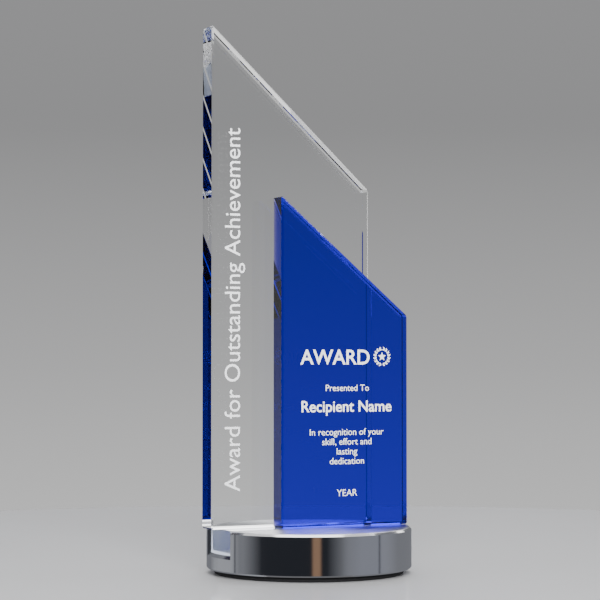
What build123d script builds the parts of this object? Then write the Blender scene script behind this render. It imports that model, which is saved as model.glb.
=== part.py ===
"""Column trophy: two slant-topped crystal panels standing on a slotted aluminium disk.

Millimetres, +Z up. The origin is the centre of the face that the trophy rests on.
X runs along the slot and the panels' width, and the inscribed front faces look towards -Y.
From the bench upwards: foam pad, tape, disk, adhesive bed, crystal foot bar, and on the bar
the clear panel with the shorter blue panel bonded to its front.
"""

import os

from build123d import *

# Disk
disk_radius = 50.0
disk_height = 20.0
disk_top_chamfer = 1.2
disk_bottom_chamfer = 0.8
slot_depth = 11.7
slot_lip_chamfer = 0.35
slot_mouth_chamfer = 1.6

# Pad under the disk
pad_thickness = 2.3
pad_inset = 4.0
tape_thickness = 0.2
tape_inset = 1.0

# Clear panel: a plate whose top slants down from left to right
clear_width = 85.0
clear_thickness = 12.0
clear_left_height = 242.2
clear_right_height = 165.5
clear_overhang = 2.3
clear_bevel = 0.8

# Blue panel: shorter, with the same slant, bonded to the clear panel's front
blue_width = 69.0
blue_thickness = 10.0
blue_left_height = 160.2
blue_right_height = 103.0
blue_inset = 1.0
blue_bevel = 0.7

# Crystal foot bar and the adhesives
film_thickness = 0.1
bar_end_inset = 2.0
bar_bevel = 0.5
bed_thickness = 0.7
bed_setback = 0.6

# Levels
pad_top = pad_thickness
disk_bottom = pad_top + tape_thickness
disk_top = disk_bottom + disk_height
slot_floor = disk_top - slot_depth
bar_bottom = slot_floor + bed_thickness
panel_bottom = disk_top + film_thickness

# Depths: the two panels and the film between them fill the bar's width, centred on the disk
stack_depth = clear_thickness + film_thickness + blue_thickness
clear_back = stack_depth / 2
clear_front = clear_back - clear_thickness
blue_back = clear_front - film_thickness
blue_front = blue_back - blue_thickness
slot_width = stack_depth + 2 * bed_thickness

# Widths
clear_left = -(disk_radius + clear_overhang)
clear_right = clear_left + clear_width
blue_right = disk_radius - blue_inset
blue_left = blue_right - blue_width
slot_reach = (disk_radius**2 - (slot_width / 2) ** 2) ** 0.5
bar_half_length = slot_reach - bar_end_inset


def slanted_outline(left, right, left_height, right_height):
    """Draws a plate's outline on its front: upright sides, level foot and slanted top."""
    Polyline(
        (left, panel_bottom),
        (right, panel_bottom),
        (right, panel_bottom + right_height),
        (left, panel_bottom + left_height),
        close=True,
    )


def slant_at(x, left, right, left_height, right_height):
    """Height above the foot of a plate's slanted top at x."""
    share = (x - left) / (right - left)
    return left_height + share * (right_height - left_height)


def upright_plane(y):
    """An XZ sketch plane at depth y, whose extrusions run towards -Y."""
    return Plane.XZ.offset(-y)


# Disk: turned, chamfered round both rims, with a slot milled right across it
with BuildPart() as base_disk:
    with BuildSketch(Plane.XY.offset(disk_bottom)):
        Circle(disk_radius)
    extrude(amount=disk_height)
    chamfer(base_disk.edges().sort_by(Axis.Z)[-1], disk_top_chamfer)
    chamfer(base_disk.edges().sort_by(Axis.Z)[0], disk_bottom_chamfer)
    with BuildSketch(Plane.XY.offset(slot_floor)):
        Rectangle(2 * disk_radius + 1, slot_width)
    extrude(amount=slot_depth, mode=Mode.SUBTRACT)
    slot_ends = (
        base_disk.edges()
        .filter_by(Axis.Z)
        .filter_by(lambda e: abs(e.center().Y) < slot_width and abs(e.center().X) > 1)
    )
    slot_sills = base_disk.edges().filter_by(GeomType.CIRCLE).filter_by(
        lambda e: abs(e.center().Z - slot_floor) < 1e-4
    )
    chamfer(slot_ends + slot_sills, slot_mouth_chamfer)
    slot_lips = (
        base_disk.edges()
        .filter_by(Axis.X)
        .filter_by(lambda e: abs(e.center().Z - disk_top) < 1e-4)
    )
    chamfer(slot_lips, slot_lip_chamfer)

# Crystal foot bar: fills the slot and carries both panels
with BuildPart() as foot_bar:
    with BuildSketch(Plane.XY.offset(bar_bottom)):
        Rectangle(2 * bar_half_length, stack_depth)
    extrude(amount=disk_top - bar_bottom)
    chamfer(foot_bar.edges(), bar_bevel)

# Adhesive bed: what is left of the slot round the bar, a little below the disk's top
with BuildPart() as slot_adhesive:
    with BuildSketch(Plane.XY.offset(slot_floor)):
        Rectangle(2 * bar_half_length, slot_width)
    extrude(amount=slot_depth - bed_setback)
    add(foot_bar.part, mode=Mode.SUBTRACT)

# Clear panel
with BuildPart() as clear_panel:
    with BuildSketch(upright_plane(clear_back)):
        with BuildLine():
            slanted_outline(clear_left, clear_right, clear_left_height, clear_right_height)
        make_face()
    extrude(amount=clear_thickness)
    chamfer(clear_panel.edges(), clear_bevel)

# Blue panel
with BuildPart() as blue_panel:
    with BuildSketch(upright_plane(blue_back)):
        with BuildLine():
            slanted_outline(blue_left, blue_right, blue_left_height, blue_right_height)
        make_face()
    extrude(amount=blue_thickness)
    chamfer(blue_panel.edges(), blue_bevel)

# Bond between the panels: a cured film over the area that both flat faces share
with BuildPart() as panel_bond:
    film_left = max(clear_left + clear_bevel, blue_left + blue_bevel)
    film_right = min(clear_right - clear_bevel, blue_right - blue_bevel)
    blue_edge = (blue_left, blue_right, blue_left_height, blue_right_height)
    with BuildSketch(upright_plane(clear_front)):
        with BuildLine():
            Polyline(
                (film_left, panel_bottom + clear_bevel),
                (film_right, panel_bottom + clear_bevel),
                (film_right, panel_bottom + slant_at(film_right, *blue_edge) - 2 * blue_bevel),
                (film_left, panel_bottom + slant_at(film_left, *blue_edge) - 2 * blue_bevel),
                close=True,
            )
        make_face()
    extrude(amount=film_thickness)


def foot_film(left, right, front, back, bevel):
    """A film under one panel's foot, between the panel and the bar's flat top."""
    left = max(left + bevel, -bar_half_length + bar_bevel)
    right = min(right - bevel, bar_half_length - bar_bevel)
    with BuildPart() as film:
        with BuildSketch(Plane.XY.offset(disk_top)):
            with Locations(((left + right) / 2, (front + back) / 2)):
                Rectangle(right - left, back - front - 2 * bevel)
        extrude(amount=film_thickness)
    return film


clear_foot_bond = foot_film(clear_left, clear_right, clear_front, clear_back, clear_bevel)
blue_foot_bond = foot_film(blue_left, blue_right, blue_front, blue_back, blue_bevel)

# Foam pad and the tape that holds it to the disk
with BuildPart() as foot_pad:
    with BuildSketch():
        Circle(disk_radius - pad_inset)
    extrude(amount=pad_thickness)

with BuildPart() as pad_tape:
    with BuildSketch(Plane.XY.offset(pad_top)):
        Circle(disk_radius - pad_inset - tape_inset)
    extrude(amount=tape_thickness)

pieces = {
    "base_disk": base_disk,
    "foot_bar": foot_bar,
    "slot_adhesive": slot_adhesive,
    "clear_panel": clear_panel,
    "blue_panel": blue_panel,
    "panel_bond": panel_bond,
    "clear_foot_bond": clear_foot_bond,
    "blue_foot_bond": blue_foot_bond,
    "foot_pad": foot_pad,
    "pad_tape": pad_tape,
}

os.makedirs("parts", exist_ok=True)
for name, piece in pieces.items():
    piece.part.label = name
    export_step(piece.part, f"parts/{name}.step")
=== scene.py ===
import math

import bmesh
import bpy
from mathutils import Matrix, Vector, noise as randomField


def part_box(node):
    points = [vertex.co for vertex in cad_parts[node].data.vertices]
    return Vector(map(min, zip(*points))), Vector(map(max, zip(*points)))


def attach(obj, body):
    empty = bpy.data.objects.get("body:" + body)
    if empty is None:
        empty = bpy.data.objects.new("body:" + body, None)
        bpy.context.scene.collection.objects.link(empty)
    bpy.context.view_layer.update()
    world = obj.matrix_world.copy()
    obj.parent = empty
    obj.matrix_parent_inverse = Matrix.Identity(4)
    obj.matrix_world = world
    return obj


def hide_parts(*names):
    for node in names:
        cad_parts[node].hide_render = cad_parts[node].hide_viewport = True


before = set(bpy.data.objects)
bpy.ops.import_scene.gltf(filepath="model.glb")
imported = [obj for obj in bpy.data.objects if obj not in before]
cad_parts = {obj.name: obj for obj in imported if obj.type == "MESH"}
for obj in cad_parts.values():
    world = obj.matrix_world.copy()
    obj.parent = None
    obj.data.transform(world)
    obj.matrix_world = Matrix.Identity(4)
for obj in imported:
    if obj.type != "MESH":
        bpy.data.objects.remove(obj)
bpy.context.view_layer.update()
mm = 0.001
weld = 0.001 * mm        # corners closer than this are one
touch = 0.01 * mm        # faces closer than this lie in one plane
print("frame loaded:", len(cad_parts), "nodes")


# Camera

cameraFacts = {
    "lens": 118.5,                           # on a sensor 36 wide
    "place": Vector((-433.4, -865.5, 101.2)) * mm,
    "turn": -26.34,                          # degrees about Z, from looking along +Y
    "lift": 1.88,                            # degrees that it looks upwards
}

cameraData = bpy.data.cameras.new("camera")
cameraData.lens = cameraFacts["lens"]
cameraData.sensor_width = 36.0
cameraObject = bpy.data.objects.new("camera", cameraData)
bpy.context.scene.collection.objects.link(cameraObject)
cameraObject.location = cameraFacts["place"]
cameraObject.rotation_euler = (
    math.radians(90 + cameraFacts["lift"]), 0, math.radians(cameraFacts["turn"]))
bpy.context.scene.camera = cameraObject


# Node trees

class Wire:  # one socket of a node tree, used in sums like a number
    def __init__(self, tree, socket=None):
        self.tree = tree
        self.socket = socket

    def node(self, kind, settings, sockets):  # any node, by type, settings and what its sockets get
        prefix = "" if kind.startswith(("Geometry", "Node")) else "ShaderNode"
        made = self.tree.nodes.new(prefix + kind)
        for key, value in settings.items():
            if key == "stops":
                ramp = made.color_ramp
                while len(ramp.elements) < len(value):
                    ramp.elements.new(1.0)
                for element, (at, colour) in zip(ramp.elements, value):
                    element.position = at
                    element.color = colour
            else:
                setattr(made, key, value)
        shown = [s for s in made.inputs if s.enabled]
        for key, value in sockets.items():
            target = shown[key] if isinstance(key, int) else next(s for s in shown if s.name == key)
            for part in value if isinstance(value, list) else [value]:
                if isinstance(part, Wire):
                    self.tree.links.new(part.socket, target)
                else:
                    target.default_value = part
        outputs = [s for s in made.outputs if s.enabled]
        return Wire(self.tree, outputs[0] if outputs else None)

    def out(self, name):  # another output of the same node
        return Wire(self.tree, self.socket.node.outputs[name])

    def maths(self, operation, *values):
        return self.node("Math", {"operation": operation}, dict(enumerate(values)))

    def __add__(self, other):
        return self.maths("ADD", self, other)

    def __radd__(self, other):
        return self.maths("ADD", other, self)

    def __sub__(self, other):
        return self.maths("SUBTRACT", self, other)

    def __rsub__(self, other):
        return self.maths("SUBTRACT", other, self)

    def __mul__(self, other):
        return self.maths("MULTIPLY", self, other)

    def __rmul__(self, other):
        return self.maths("MULTIPLY", other, self)

    def __truediv__(self, other):
        return self.maths("DIVIDE", self, other)

    def __pow__(self, other):
        return self.maths("POWER", self, other)

    def above(self, edge, blur):  # 0 below the edge, 1 above it
        return self.node("MapRange", {"interpolation_type": "SMOOTHSTEP"},
                         {0: self, 1: edge - blur, 2: edge + blur})

    def sine(self):
        return self.maths("SINE", self)


def rgba(red, green, blue):
    return (red, green, blue, 1.0)


def newMaterial(name):
    material = bpy.data.materials.new(name)
    material.use_nodes = True
    material.node_tree.nodes.clear()
    return material, Wire(material.node_tree)


def blendColours(m, share, first, second):
    return m.node("Mix", {"data_type": "RGBA"}, {0: share, 1: first, 2: second})


def noise(m, place, scale, detail=3.0, roughness=0.5):
    return m.node("TexNoise", {}, {
        "Vector": place,
        "Scale": scale,
        "Detail": detail,
        "Roughness": roughness,
    })


def bump(m, height, strength, distance):
    return m.node("Bump", {}, {"Height": height, "Strength": strength, "Distance": distance})


def finishMaterial(material, m, surface, volume=None):
    sockets = {"Surface": surface}
    if volume is not None:
        sockets["Volume"] = volume
    m.node("OutputMaterial", {}, sockets)
    return material


# Aluminium, turned on a lathe: the rim is polished, the faces keep a finer satin cut

def polishedAluminium():
    look = {
        "bright": rgba(0.88, 0.885, 0.895),
        "dull": rgba(0.80, 0.81, 0.83),
        "groovePitch": 0.22 * mm,
        "grooveDepth": 0.0006 * mm,
        "smear": 0.85,
        "rimRough": 0.09,
        "faceRough": 0.30,
        "patchy": 0.04,
        "faceEdge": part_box("base_disk")[1].z - 0.3 * mm,
        "faceBlur": 0.1 * mm,
    }
    material, m = newMaterial("polishedAluminium")
    place = m.node("TexCoord", {}, {}).out("Object")
    parts = m.node("SeparateXYZ", {}, {0: place})
    x, y, z = parts.out("X"), parts.out("Y"), parts.out("Z")
    radius = (x * x + y * y) ** 0.5
    alongCut = radius + z
    grooves = (alongCut * (2 * math.pi / look["groovePitch"])).sine()
    patches = noise(m, place, 60.0)
    fine = noise(m, m.node("CombineXYZ", {}, {"X": alongCut * 40.0, "Y": x, "Z": y}), 220.0, 4.0)
    onFace = z.above(look["faceEdge"], look["faceBlur"])
    rough = look["rimRough"] + onFace * (look["faceRough"] - look["rimRough"])
    surface = m.node("BsdfPrincipled", {}, {
        "Base Color": blendColours(m, patches, look["dull"], look["bright"]),
        "Metallic": 1.0,
        "Roughness": rough + fine * look["patchy"],
        "Anisotropic": look["smear"],
        "Anisotropic Rotation": 0.25,
        "Normal": bump(m, grooves, 1.0, look["grooveDepth"]),
    })
    return finishMaterial(material, m, surface)


# Optical crystal. Where another piece is cemented to a face, that face doesn't bend light

crystalFacts = {
    "ior": 1.52,
    "clearTint": rgba(0.992, 0.998, 0.996),
    "blueTint": rgba(0.22, 0.15, 0.93),
    "blueDepth": 460.0,                      # absorption per metre of what the tint leaves out
    "ripple": 0.00008 * mm,
    "haze": 0.004,
}


def polishedCrystal(m, tint):
    place = m.node("TexCoord", {}, {}).out("Object")
    wiped = noise(m, place, 35.0, 4.0)
    return m.node("BsdfPrincipled", {}, {
        "Base Color": tint,
        "Roughness": wiped.above(0.55, 0.1) * crystalFacts["haze"],
        "IOR": crystalFacts["ior"],
        "Transmission Weight": 1.0,
        "Normal": bump(m, noise(m, place, 90.0, 1.0), 0.3, crystalFacts["ripple"]),
    })


def clearCrystal():
    material, m = newMaterial("clearCrystal")
    return finishMaterial(material, m, polishedCrystal(m, crystalFacts["clearTint"]))


def cementedFace():
    material, m = newMaterial("cementedFace")
    return finishMaterial(material, m, m.node("BsdfTransparent", {}, {"Color": rgba(1, 1, 1)}))


def blueCrystal():
    material, m = newMaterial("blueCrystal")
    cemented = m.node("Attribute", {"attribute_name": "cemented"}, {}).out("Fac")
    glass = polishedCrystal(m, rgba(1, 1, 1))
    through = m.node("BsdfTransparent", {}, {"Color": rgba(1, 1, 1)})
    surface = m.node("MixShader", {}, {0: cemented, 1: glass, 2: through})
    volume = m.node("VolumeAbsorption", {}, {
        "Color": crystalFacts["blueTint"],
        "Density": crystalFacts["blueDepth"],
    })
    return finishMaterial(material, m, surface, volume)


# Adhesives: a clear bead where the films squeeze out, and a milky bed in the slot whose colour is partly
# painted light

def clearAdhesive():
    look = {
        "tint": rgba(0.95, 0.97, 0.98),
        "ior": 1.5,
        "haze": 0.12,
        "hazeScale": 400.0,
        "waveScale": 700.0,
        "waveDepth": 0.02 * mm,
    }
    material, m = newMaterial("clearAdhesive")
    place = m.node("TexCoord", {}, {}).out("Object")
    surface = m.node("BsdfPrincipled", {}, {
        "Base Color": look["tint"],
        "Roughness": noise(m, place, look["hazeScale"]) * look["haze"],
        "IOR": look["ior"],
        "Transmission Weight": 1.0,
        "Normal": bump(m, noise(m, place, look["waveScale"]), 0.4, look["waveDepth"]),
    })
    return finishMaterial(material, m, surface)


def milkyAdhesiveWithPaintedLight():
    # body and thick are lighter than the adhesive's own colour: painted light standing in for the light the
    # crystal carries down into the slot
    look = {
        "body": rgba(0.66, 0.75, 0.95),
        "thick": rgba(0.84, 0.90, 1.0),
        "bubble": rgba(0.90, 0.93, 0.97),
        "bubbleScale": 900.0,
        "bubbleSize": 0.16,
        "bubbleDepth": 0.05 * mm,
        "cloudScale": 160.0,
    }
    material, m = newMaterial("milkyAdhesiveWithPaintedLight")
    place = m.node("TexCoord", {}, {}).out("Object")
    cells = m.node("TexVoronoi", {}, {"Vector": place, "Scale": look["bubbleScale"]})
    bubbles = 1 - cells.above(look["bubbleSize"], 0.05)
    body = blendColours(m, noise(m, place, look["cloudScale"]), look["body"], look["thick"])
    surface = m.node("BsdfPrincipled", {}, {
        "Base Color": blendColours(m, bubbles, body, look["bubble"]),
        "Roughness": 0.35 + noise(m, place, 500.0) * 0.2,
        "IOR": 1.5,
        "Normal": bump(m, cells, 0.4, look["bubbleDepth"]),
    })
    return finishMaterial(material, m, surface)


# Infill rubbed into the sandblasted letters

def whiteInfill():
    look = {
        "thin": rgba(0.86, 0.87, 0.89),
        "thick": rgba(0.94, 0.95, 0.96),
        "rubScale": 900.0,
        "grainScale": 5000.0,
        "grainDepth": 0.02 * mm,
    }
    material, m = newMaterial("whiteInfill")
    place = m.node("TexCoord", {}, {}).out("Object")
    grain = noise(m, place, look["grainScale"], 2.0)
    surface = m.node("BsdfPrincipled", {}, {
        "Base Color": blendColours(m, noise(m, place, look["rubScale"]), look["thin"], look["thick"]),
        "Roughness": 0.5 + grain * 0.2,
        "Normal": bump(m, grain, 0.5, look["grainDepth"]),
    })
    return finishMaterial(material, m, surface)


# Foam and tape under the disk

def blackFoam():
    look = {
        "pore": rgba(0.008, 0.008, 0.009),
        "wall": rgba(0.03, 0.03, 0.032),
        "cellScale": 2200.0,
        "cellDepth": 0.08 * mm,
    }
    material, m = newMaterial("blackFoam")
    place = m.node("TexCoord", {}, {}).out("Object")
    cells = m.node("TexVoronoi", {}, {"Vector": place, "Scale": look["cellScale"]})
    surface = m.node("BsdfPrincipled", {}, {
        "Base Color": blendColours(m, cells, look["pore"], look["wall"]),
        "Roughness": 0.85 + cells * 0.1,
        "Normal": bump(m, cells, 0.6, look["cellDepth"]),
    })
    return finishMaterial(material, m, surface)


def blackTape():
    look = {
        "dark": rgba(0.015, 0.015, 0.016),
        "worn": rgba(0.04, 0.04, 0.04),
        "fibreScale": 1500.0,
    }
    material, m = newMaterial("blackTape")
    place = m.node("TexCoord", {}, {}).out("Object")
    fibres = noise(m, place, look["fibreScale"], 4.0)
    surface = m.node("BsdfPrincipled", {}, {
        "Base Color": blendColours(m, fibres, look["dark"], look["worn"]),
        "Roughness": 0.5 + fibres * 0.2,
    })
    return finishMaterial(material, m, surface)


metal = polishedAluminium()
clear = clearCrystal()
clearCemented = cementedFace()
blue = blueCrystal()
bead = clearAdhesive()
bed = milkyAdhesiveWithPaintedLight()
infill = whiteInfill()
foam = blackFoam()
tape = blackTape()
print("materials made")


# Pieces

def setMaterials(piece, *materials):
    piece.data.materials.clear()
    for material in materials:
        piece.data.materials.append(material)


def newPiece(name, bm, *materials):
    mesh = bpy.data.meshes.new(name)
    bm.to_mesh(mesh)
    bm.free()
    piece = bpy.data.objects.new(name, mesh)
    bpy.context.scene.collection.objects.link(piece)
    for material in materials:
        piece.data.materials.append(material)
    return piece


def finishPiece(piece, slot, *nodes):
    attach(piece, "root")
    if nodes:
        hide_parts(*nodes)


def solidOf(node):  # a CAD node's shape as whole flat faces
    bm = bmesh.new()
    bm.from_mesh(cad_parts[node].data)
    bmesh.ops.remove_doubles(bm, verts=bm.verts, dist=weld)
    bmesh.ops.dissolve_limit(bm, angle_limit=math.radians(0.2), verts=bm.verts, edges=bm.edges)
    for face in bm.faces:
        face.smooth = False
    bm.normal_update()
    return bm


def cutAt(bm, point, normal):  # new edges where a plane crosses, with nothing taken away
    bmesh.ops.bisect_plane(bm, geom=bm.verts[:] + bm.edges[:] + bm.faces[:], plane_co=point, plane_no=normal)
    bm.normal_update()


def topAt(node, side):  # the highest point of a plate near its left or right end
    low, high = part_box(node)
    edge = low.x if side == "left" else high.x
    near = [v.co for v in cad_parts[node].data.vertices if abs(v.co.x - edge) < touch]
    return max(near, key=lambda place: place.z)


def bondOutline():  # the film between the panels: its box and the line of its slanted top
    low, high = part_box("panel_bond")
    left, right = topAt("panel_bond", "left"), topAt("panel_bond", "right")
    along = right - left
    return low, high, left, Vector((-along.z, 0, along.x)).normalized()


def cutForBond(bm, faceY):
    low, high, start, slantNormal = bondOutline()
    cutAt(bm, low, (1, 0, 0))
    cutAt(bm, high, (1, 0, 0))
    cutAt(bm, low, (0, 0, 1))
    cutAt(bm, start, slantNormal)
    for face in bm.faces:
        middle = face.calc_center_median()
        onFace = abs(middle.y - faceY) < touch and abs(face.normal.y) > 0.99
        inside = low.x < middle.x < high.x and middle.z > low.z and (middle - start).dot(slantNormal) < 0
        if onFace and inside:
            face.material_index = 1


def cutForFoot(bm, film, faceZ):
    low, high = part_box(film)
    for point, normal in ((low, (1, 0, 0)), (high, (1, 0, 0)), (low, (0, 1, 0)), (high, (0, 1, 0))):
        cutAt(bm, point, normal)
    for face in bm.faces:
        middle = face.calc_center_median()
        onFace = abs(middle.z - faceZ) < touch and abs(face.normal.z) > 0.99
        if onFace and low.x < middle.x < high.x and low.y < middle.y < high.y:
            face.material_index = 1


def makeClearPanel():
    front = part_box("clear_panel")[0]
    bm = solidOf("clear_panel")
    cutForBond(bm, front.y)
    cutForFoot(bm, "clear_foot_bond", front.z)
    finishPiece(newPiece("clearPanel", bm, clear, clearCemented), "clear_crystal", "clear_panel")


def makeBluePanel():
    low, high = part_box("blue_panel")
    bm = solidOf("blue_panel")
    cutForBond(bm, high.y)
    cutForFoot(bm, "blue_foot_bond", low.z)
    piece = newPiece("bluePanel", bm, blue)
    cemented = piece.data.attributes.new("cemented", "FLOAT", "FACE")
    for face in piece.data.polygons:
        cemented.data[face.index].value = float(face.material_index == 1)
    piece.data.polygons.foreach_set("material_index", [0] * len(piece.data.polygons))
    finishPiece(piece, "blue_crystal", "blue_panel")


def makeFootBar():
    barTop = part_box("foot_bar")[1].z
    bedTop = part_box("slot_adhesive")[1].z
    bm = solidOf("foot_bar")
    cutForFoot(bm, "clear_foot_bond", barTop)
    cutForFoot(bm, "blue_foot_bond", barTop)
    cutAt(bm, (0, 0, bedTop), (0, 0, 1))
    for face in bm.faces:
        if face.calc_center_median().z < bedTop and abs(face.normal.x) < 0.3:
            face.material_index = 1
    finishPiece(newPiece("footBar", bm, clear, clearCemented), "clear_crystal", "foot_bar")


def makeSlotBed():  # what fills the slot round the bar, a hair clear of both
    gap = 0.03 * mm                          # more than a rounding error, too fine to see
    bm = solidOf("slot_adhesive")
    bmesh.ops.triangulate(bm, faces=[f for f in bm.faces if len(f.verts) > 4])
    moves = [(v, v.normal * v.calc_shell_factor() * -gap) for v in bm.verts]
    for vertex, move in moves:
        vertex.co += move
    finishPiece(newPiece("slotBed", bm, bed), "cured_adhesive", "slot_adhesive")


# Geometry Nodes

def newTree(name, inputs):  # inputs: name to socket type
    tree = bpy.data.node_groups.new(name, "GeometryNodeTree")
    tree.interface.new_socket("Geometry", in_out="INPUT", socket_type="NodeSocketGeometry")
    for label, kind in inputs.items():
        tree.interface.new_socket(label, in_out="INPUT", socket_type="NodeSocket" + kind)
    tree.interface.new_socket("Geometry", in_out="OUTPUT", socket_type="NodeSocketGeometry")
    return tree, Wire(tree).node("NodeGroupInput", {}, {})


def closeTree(given, shape):  # every tree ends the same way
    whole = given.node("GeometryNodeRealizeInstances", {}, {"Geometry": shape})
    painted = given.node("GeometryNodeSetMaterial", {}, {
        "Geometry": whole,
        "Material": given.out("Material"),
    })
    given.node("NodeGroupOutput", {}, {0: painted})


def applyTree(piece, tree, values):  # runs the tree with these values and keeps the plain mesh
    modifier = piece.modifiers.new(tree.name, "NODES")
    modifier.node_group = tree
    for item in tree.interface.items_tree:
        if item.in_out == "INPUT" and item.name in values:
            modifier[item.identifier] = values[item.name]
    grown = bpy.data.meshes.new_from_object(piece.evaluated_get(bpy.context.evaluated_depsgraph_get()))
    piece.modifiers.remove(modifier)
    piece.data = grown


# Beads: the clear adhesive that shows along the edges of the three films

beadFacts = {
    "radius": 0.045 * mm,
    "sides": 8,
}


def beadTree():
    tree, given = newTree("beadTree", {"Radius": "Float", "Sides": "Int", "Material": "Material"})
    path = given.node("GeometryNodeMeshToCurve", {}, {"Mesh": given.out("Geometry")})
    ring = given.node("GeometryNodeCurvePrimitiveCircle", {}, {
        "Resolution": given.out("Sides"),
        "Radius": given.out("Radius"),
    })
    closeTree(given, given.node("GeometryNodeCurveToMesh", {}, {"Curve": path, "Profile Curve": ring}))
    return tree


def filmOutline(node):  # the edge of a film, half way through its thickness
    low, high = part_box(node)
    thin = min(range(3), key=lambda axis: high[axis] - low[axis])
    corners = {}
    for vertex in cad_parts[node].data.vertices:
        corner = vertex.co.copy()
        corner[thin] = (low[thin] + high[thin]) / 2
        corners[tuple(round(c / mm, 3) for c in corner)] = corner
    middle = sum(corners.values(), Vector()) / len(corners)
    across, up = (axis for axis in range(3) if axis != thin)
    return sorted(corners.values(), key=lambda c: math.atan2(c[up] - middle[up], c[across] - middle[across]))


def makeBeads():
    tree = beadTree()
    for name, node in (("panelBondBead", "panel_bond"), ("clearFootBead", "clear_foot_bond"),
                       ("blueFootBead", "blue_foot_bond")):
        bm = bmesh.new()
        loop = [bm.verts.new(corner) for corner in filmOutline(node)]
        for start, end in zip(loop, loop[1:] + loop[:1]):
            bm.edges.new((start, end))
        piece = newPiece(name, bm, bead)
        applyTree(piece, tree, {
            "Radius": beadFacts["radius"],
            "Sides": beadFacts["sides"],
            "Material": bead,
        })
        finishPiece(piece, "cured_adhesive", node)


# Foam pad: die-cut, a little crushed where the weight sits, with a bulged and nibbled edge

padFacts = {
    "segments": 288,
    "edgeSteps": 10,
    "bulge": 0.28 * mm,
    "corner": 0.35 * mm,
    "nibble": 0.07 * mm,
    "nibblePitch": 1.6 * mm,
    "clearance": 0.02 * mm,
    "rings": 14,
}


def makeFootPad():
    low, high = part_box("foot_pad")
    radius = (high.x - low.x) / 2
    top = high.z - padFacts["clearance"]
    profile = [(radius * step / padFacts["rings"], low.z) for step in range(1, padFacts["rings"])]
    for step in range(padFacts["edgeSteps"] + 1):
        share = step / padFacts["edgeSteps"]
        belly = math.sin(math.pi * share)
        tuck = padFacts["corner"] * (1 - belly) ** 2
        profile.append((radius - tuck + padFacts["bulge"] * belly, low.z + (top - low.z) * share))
    profile += [(radius * step / padFacts["rings"], top) for step in range(padFacts["rings"] - 1, 0, -1)]
    bm = bmesh.new()
    rings = []
    for reach, height in profile:
        ring = []
        for segment in range(padFacts["segments"]):
            angle = 2 * math.pi * segment / padFacts["segments"]
            place = Vector((math.cos(angle) * reach, math.sin(angle) * reach, height))
            atEdge = max(0.0, 1 - abs(reach - radius) / mm)
            rough = randomField.noise(place / padFacts["nibblePitch"]) * padFacts["nibble"] * atEdge
            place.xy *= 1 + rough / reach
            ring.append(bm.verts.new(place))
        rings.append(ring)
    for inner, outer in zip(rings, rings[1:]):
        for segment in range(padFacts["segments"]):
            after = (segment + 1) % padFacts["segments"]
            bm.faces.new((inner[segment], inner[after], outer[after], outer[segment]))
    for ring, height in ((rings[0], low.z), (rings[-1], top)):
        centre = bm.verts.new((0, 0, height))
        for segment in range(padFacts["segments"]):
            bm.faces.new((centre, ring[segment], ring[(segment + 1) % padFacts["segments"]]))
    bmesh.ops.recalc_face_normals(bm, faces=bm.faces)
    for face in bm.faces:
        face.smooth = True
    piece = newPiece("footPad", bm, foam)
    finishPiece(piece, "black_foam", "foot_pad")


# Lettering: letters sandblasted into the crystal and filled, flush with its face

letterFacts = {
    "proud": 0.03 * mm,                      # out of the face
    "depth": 0.25 * mm,                      # into the face
    "weld": 0.0002 * mm,                     # finer than elsewhere, as small type has short edges
    "curveSteps": 4,
    "boldness": 0.014,                       # how far a bold letter's outline grows, per unit of type size
}


def flatText(words, bold):  # a line of type one unit high, as a thin solid lying in XY
    curve = bpy.data.curves.new("type", "FONT")
    curve.body = words
    curve.size = 1.0
    curve.resolution_u = letterFacts["curveSteps"]
    curve.extrude = 0.5
    curve.offset = letterFacts["boldness"] if bold else 0.0
    holder = bpy.data.objects.new("type", curve)
    bpy.context.scene.collection.objects.link(holder)
    mesh = bpy.data.meshes.new_from_object(holder.evaluated_get(bpy.context.evaluated_depsgraph_get()))
    bpy.data.objects.remove(holder)
    return mesh


def addLine(bm, line, faceY, upwards):  # sets a line of type about its middle, on a face towards -Y
    mesh = flatText(line["words"], line.get("bold", False))
    scale = line["size"] * mm
    middle = (min(v.co.x for v in mesh.vertices) + max(v.co.x for v in mesh.vertices)) / 2
    outer, inner = faceY - letterFacts["proud"], faceY + letterFacts["depth"]
    for vertex in mesh.vertices:
        along = line["middle"] * mm + (vertex.co.x - middle) * scale
        rise = vertex.co.y * scale
        depth = outer if vertex.co.z > 0 else inner
        if upwards:
            vertex.co = (line["base"] * mm - rise, depth, along)
        else:
            vertex.co = (along, depth, line["base"] * mm + rise)
    bm.from_mesh(mesh)
    bpy.data.meshes.remove(mesh)


def makeLettering(name, lines, faceY, slot, upwards=False):
    bm = bmesh.new()
    for line in lines:
        addLine(bm, line, faceY, upwards)
    bmesh.ops.remove_doubles(bm, verts=bm.verts, dist=letterFacts["weld"])
    bmesh.ops.recalc_face_normals(bm, faces=bm.faces)
    finishPiece(newPiece(name, bm, infill), slot)


sideLines = (  # up the clear panel, in millimetres: base is X and middle is Z
    {"words": "Award for Outstanding Achievement", "base": -37.6, "middle": 127.9, "size": 11.65},
)
frontLines = (  # on the blue panel, in millimetres: base is Z and middle is X
    {"words": "AWARD", "base": 101.5, "middle": 8.8, "size": 10.2, "bold": True},
    {"words": "Presented To", "base": 88.5, "middle": 15.5, "size": 4.4},
    {"words": "Recipient Name", "base": 78.4, "middle": 15.2, "size": 7.7, "bold": True},
    {"words": "In recognition of your", "base": 67.0, "middle": 15.2, "size": 4.6},
    {"words": "skill, effort and", "base": 62.3, "middle": 15.2, "size": 4.6},
    {"words": "lasting", "base": 57.6, "middle": 15.2, "size": 4.6},
    {"words": "dedication", "base": 52.9, "middle": 15.2, "size": 4.6},
    {"words": "YEAR", "base": 37.4, "middle": 15.2, "size": 4.7},
)


# Emblem: a five-pointed star inside a laurel wreath

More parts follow.
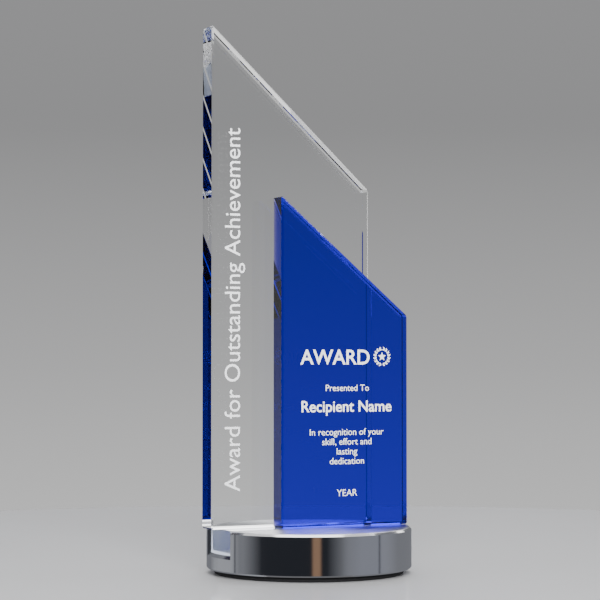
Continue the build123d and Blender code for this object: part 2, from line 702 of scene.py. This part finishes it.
emblemFacts = {
    "acrossAt": 34.7 * mm,                   # X of its centre
    "heightAt": 105.2 * mm,                  # Z of its centre
    "starPoints": 5,
    "starOuter": 2.25 * mm,
    "starInner": 0.95 * mm,
    "wreathRadius": 3.85 * mm,
    "wreathStart": -84.0,                    # degrees, from X towards the top
    "wreathSweep": 150.0,
    "wreathSteps": 48,
    "leaves": 8,                             # pairs on each side
    "leafLength": 1.5 * mm,
    "leafWidth": 0.72 * mm,
    "leafLean": 30.0,                        # degrees out from the branch
    "leafPoints": 14,
}


def wreathTree():  # repeats one leaf in pairs along a branch, then mirrors the branch
    tree, given = newTree("wreathTree", {
        "Radius": "Float", "Start": "Float", "Sweep": "Float", "Pairs": "Int", "Lean": "Float",
        "Material": "Material",
    })
    branch = given.node("GeometryNodeCurveArc", {"mode": "RADIUS"}, {
        "Radius": given.out("Radius"),
        "Start Angle": given.out("Start"),
        "Sweep Angle": given.out("Sweep"),
        "Resolution": emblemFacts["wreathSteps"],
    })
    points = given.node("GeometryNodeCurveToPoints", {"mode": "COUNT"}, {
        "Curve": branch,
        "Count": given.out("Pairs"),
    })
    index = given.node("GeometryNodeInputIndex", {}, {})
    heading = given.out("Start") + index * given.out("Sweep") / (given.out("Pairs") - 1) + math.pi / 2
    sprays = []
    for turn in (heading + given.out("Lean"), heading - given.out("Lean")):
        sprays.append(given.node("GeometryNodeInstanceOnPoints", {}, {
            "Points": points,
            "Instance": given.out("Geometry"),
            "Rotation": given.node("CombineXYZ", {}, {"Z": turn}),
        }))
    half = given.node("GeometryNodeJoinGeometry", {}, {"Geometry": sprays})
    mirrored = given.node("GeometryNodeTransform", {}, {"Geometry": half, "Scale": (-1, 1, 1)})
    closeTree(given, given.node("GeometryNodeJoinGeometry", {}, {"Geometry": [half, mirrored]}))
    return tree


def prism(outline):  # a flat outline given a letter's thickness, from local Z 0 to 1
    bm = bmesh.new()
    face = bm.faces.new([bm.verts.new((x, y, 0)) for x, y in outline])
    raised = bmesh.ops.extrude_face_region(bm, geom=[face], use_keep_orig=True)["geom"]
    for vertex in raised:
        if isinstance(vertex, bmesh.types.BMVert):
            vertex.co.z = 1.0
    bmesh.ops.recalc_face_normals(bm, faces=bm.faces)
    return bm


def leafOutline():
    outline = []
    for step in range(emblemFacts["leafPoints"]):
        angle = 2 * math.pi * step / emblemFacts["leafPoints"]
        belly = math.sin(angle) * abs(math.sin(angle))
        along = (1 + math.cos(angle)) * emblemFacts["leafLength"] / 2
        outline.append((along, belly * emblemFacts["leafWidth"] / 2))
    return outline


def starOutline():
    outline = []
    for step in range(2 * emblemFacts["starPoints"]):
        reach = emblemFacts["starInner"] if step % 2 else emblemFacts["starOuter"]
        angle = math.pi / 2 + math.pi * step / emblemFacts["starPoints"]
        outline.append((math.cos(angle) * reach, math.sin(angle) * reach))
    return outline


def makeEmblem(faceY):
    piece = newPiece("emblem", prism(leafOutline()), infill)
    applyTree(piece, wreathTree(), {
        "Radius": emblemFacts["wreathRadius"],
        "Start": math.radians(emblemFacts["wreathStart"]),
        "Sweep": math.radians(emblemFacts["wreathSweep"]),
        "Pairs": emblemFacts["leaves"],
        "Lean": math.radians(emblemFacts["leafLean"]),
        "Material": infill,
    })
    bm = prism(starOutline())
    bm.from_mesh(piece.data)
    for vertex in bm.verts:
        depth = faceY + letterFacts["depth"] - vertex.co.z * (letterFacts["depth"] + letterFacts["proud"])
        vertex.co = (emblemFacts["acrossAt"] + vertex.co.x, depth, emblemFacts["heightAt"] + vertex.co.y)
    bmesh.ops.recalc_face_normals(bm, faces=bm.faces)
    bm.to_mesh(piece.data)
    bm.free()
    finishPiece(piece, "blue_crystal")


makeClearPanel()
makeBluePanel()
makeFootBar()
makeSlotBed()
makeBeads()
makeFootPad()
setMaterials(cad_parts["base_disk"], metal)
setMaterials(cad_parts["pad_tape"], tape)
print("crystal, adhesives, pad and metal made")
makeLettering("sideLettering", sideLines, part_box("clear_panel")[0].y, "clear_crystal", upwards=True)
makeLettering("frontLettering", frontLines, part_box("blue_panel")[0].y, "blue_crystal")
makeEmblem(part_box("blue_panel")[0].y)
print("lettering and emblem made")


# Studio

studio = {
    "floorRadius": 0.46,
    "floorTones": (rgba(0.45, 0.45, 0.46), rgba(0.47, 0.47, 0.48)),
    "ringRadius": 1.1,
    "ringFoot": -2.2,
    "ringTop": 1.3,
    "raisedReach": 0.97,                     # of the ring's radius
    "wallTone": (0.19, 0.195, 0.215),        # the ring between its cards
    "underTone": (0.16, 0.16, 0.17),         # below the trophy
    "underStep": 8,                          # degrees
}


def makeFloor():
    material, m = newMaterial("paleFloor")
    place = m.node("TexCoord", {}, {}).out("Object")
    mottle = noise(m, place, 8.0, 2.0)
    surface = m.node("BsdfPrincipled", {}, {
        "Base Color": blendColours(m, mottle, *studio["floorTones"]),
        "Roughness": 0.5,
        "Coat Weight": 0.6,
        "Coat Roughness": 0.08,
    })
    finishMaterial(material, m, surface)
    bm = bmesh.new()
    bmesh.ops.create_circle(bm, cap_ends=True, segments=256, radius=studio["floorRadius"])
    floor = newPiece("floor", bm, material)
    floor.visible_glossy = False             # the metal and the glass mirror the cards instead


backdrop = (  # from straight down, 0, to straight up, 1, with the horizon at a half
    (0.0, rgba(1.6, 1.6, 1.6)),
    (0.27, rgba(1.6, 1.6, 1.6)),
    (0.33, rgba(0.64, 0.64, 0.64)),
    (0.46, rgba(0.64, 0.64, 0.64)),
    (0.50, rgba(0.47, 0.47, 0.475)),
    (0.56, rgba(0.29, 0.29, 0.295)),
    (0.72, rgba(0.34, 0.34, 0.35)),
    (0.84, rgba(1.0, 1.0, 1.0)),
    (1.0, rgba(1.0, 1.0, 1.0)),
)


def makeWorld():
    world = bpy.data.worlds.new("studioWorld")
    bpy.context.scene.world = world
    world.use_nodes = True
    world.node_tree.nodes.clear()
    m = Wire(world.node_tree)
    height = m.node("SeparateXYZ", {}, {0: m.node("TexCoord", {}, {}).out("Generated")}).out("Z")
    ramp = m.node("ValToRGB", {"stops": backdrop}, {0: height * 0.5 + 0.5})
    background = m.node("Background", {}, {"Color": ramp, "Strength": 1.0})
    m.node("OutputWorld", {}, {"Surface": background})


# Cards on a ring round the trophy, seen only in reflections. The middle and width of each are in
# degrees, anticlockwise from above, starting behind the trophy. A later card stands in front

ringCards = {
    "paleLeft": {"middle": 68, "width": 46, "soft": 14, "tone": (0.36, 0.37, 0.40)},
    "leftStand": {"middle": 91, "width": 2, "soft": 1, "tone": (0.05, 0.05, 0.06)},
    "blackFlag": {"middle": 163, "width": 96, "soft": 24, "tone": (0.02, 0.022, 0.028)},
    "warmStrip": {"middle": 188, "width": 9, "soft": 3, "tone": (0.28, 0.17, 0.11)},
    "paleRight": {"middle": 255, "width": 56, "soft": 24, "tone": (0.23, 0.24, 0.28)},
    "rightStand": {"middle": 263, "width": 2, "soft": 1, "tone": (0.05, 0.05, 0.06)},
}


def hideButFrom(card, rays):  # only this kind of ray meets the card
    for kind in ("camera", "diffuse", "glossy", "transmission", "volume_scatter", "shadow"):
        setattr(card, "visible_" + kind, kind == rays)


def ringTone(degrees):
    tone = Vector(studio["wallTone"])
    for card in ringCards.values():
        apart = abs((degrees - card["middle"] + 180) % 360 - 180)
        share = (card["width"] / 2 - apart) / card["soft"] + 0.5
        tone = tone.lerp(Vector(card["tone"]), min(1.0, max(0.0, share)))
    return tone


def ringPoint(degrees, height):
    turn = math.radians(90 + cameraFacts["turn"] + degrees)
    return Vector((math.cos(turn) * studio["ringRadius"], math.sin(turn) * studio["ringRadius"], height))


def makeRing():
    material, m = newMaterial("studioCards")
    tone = m.node("Attribute", {"attribute_name": "tone"}, {}).out("Color")
    finishMaterial(material, m, m.node("Emission", {}, {"Color": tone, "Strength": 1.0}))
    bm = bmesh.new()
    tones = []
    columns = []
    for degrees in range(360):
        columns.append([bm.verts.new(ringPoint(degrees, studio[end])) for end in ("ringFoot", "ringTop")])
        tones += [ringTone(degrees)] * 2
    for column, after in zip(columns, columns[1:] + columns[:1]):
        bm.faces.new((column[0], after[0], after[1], column[1]))
    turns = range(0, 360, studio["underStep"])
    under = [bm.verts.new(ringPoint(degrees, studio["ringFoot"])) for degrees in turns]
    bm.faces.new(under)
    tones += [Vector(studio["underTone"])] * len(under)
    ring = newPiece("ringCards", bm, material)
    paint = ring.data.attributes.new("tone", "FLOAT_COLOR", "POINT")
    for vertex, tone in zip(paint.data, tones):
        vertex.color = rgba(*tone)
    hideButFrom(ring, "glossy")


# Cards just inside the ring, seen only in reflections, each with its foot above what the disk's
# rim mirrors: the kicker edges the right ends, and the flag darkens the clear panel's left end

raisedCards = {
    "kicker": {"start": 319, "end": 327, "foot": 0.15, "tone": (2.5, 2.5, 2.5)},
    "leftFlag": {"start": 45, "end": 59, "foot": -0.06, "tone": (0.015, 0.012, 0.025)},
}


def makeRaisedCard(name, card):
    material, m = newMaterial(name)
    finishMaterial(material, m, m.node("Emission", {}, {"Color": rgba(*card["tone"]), "Strength": 1.0}))
    bm = bmesh.new()
    corners = []
    for side, height in (("start", card["foot"]), ("end", card["foot"]), ("end", studio["ringTop"]),
                         ("start", studio["ringTop"])):
        place = ringPoint(card[side], height)
        place.xy *= studio["raisedReach"]
        corners.append(bm.verts.new(place))
    bm.faces.new(corners)
    hideButFrom(newPiece(name, bm, material), "glossy")


softboxes = {
    "topSoftbox": {"place": (0.1, 0.2, 1.3), "aim": 0.1, "size": (1.0, 1.0), "power": 8},
    "backSoftbox": {"place": (0.45, 0.95, 0.75), "aim": 0.05, "size": (0.9, 0.5), "power": 7},
    "leftSoftbox": {"place": (-1.0, 0.1, 0.6), "aim": 0.12, "size": (0.5, 1.0), "power": 4},
    "rightSoftbox": {"place": (1.0, -0.3, 0.6), "aim": 0.12, "size": (0.4, 1.0), "power": 4},
    "frontSoftbox": {"place": (-0.5, -1.3, 0.7), "aim": 0.13, "size": (0.8, 0.8), "power": 52},
}


def makeSoftbox(name, facts):  # aimed at a height on the trophy's axis
    light = bpy.data.lights.new(name, "AREA")
    light.shape = "RECTANGLE"
    light.size, light.size_y = facts["size"]
    light.energy = facts["power"]
    box = bpy.data.objects.new(name, light)
    bpy.context.scene.collection.objects.link(box)
    place = Vector(facts["place"])
    box.location = place
    box.rotation_euler = (Vector((0, 0, facts["aim"])) - place).to_track_quat("-Z", "Y").to_euler()
    box.visible_camera = False
    return box


makeFloor()
makeWorld()
makeRing()
for name, card in raisedCards.items():
    makeRaisedCard(name, card)
lights = {name: makeSoftbox(name, facts) for name, facts in softboxes.items()}
lights["frontSoftbox"].visible_glossy = False            # neither metal nor glass shows it
lights["frontSoftbox"].visible_transmission = False
print("studio made")

# Light runs along inside a panel from face to face many times before it comes out
cycles = bpy.context.scene.cycles
cycles.max_bounces = 32
cycles.glossy_bounces = 16
cycles.transmission_bounces = 16
cycles.transparent_max_bounces = 32
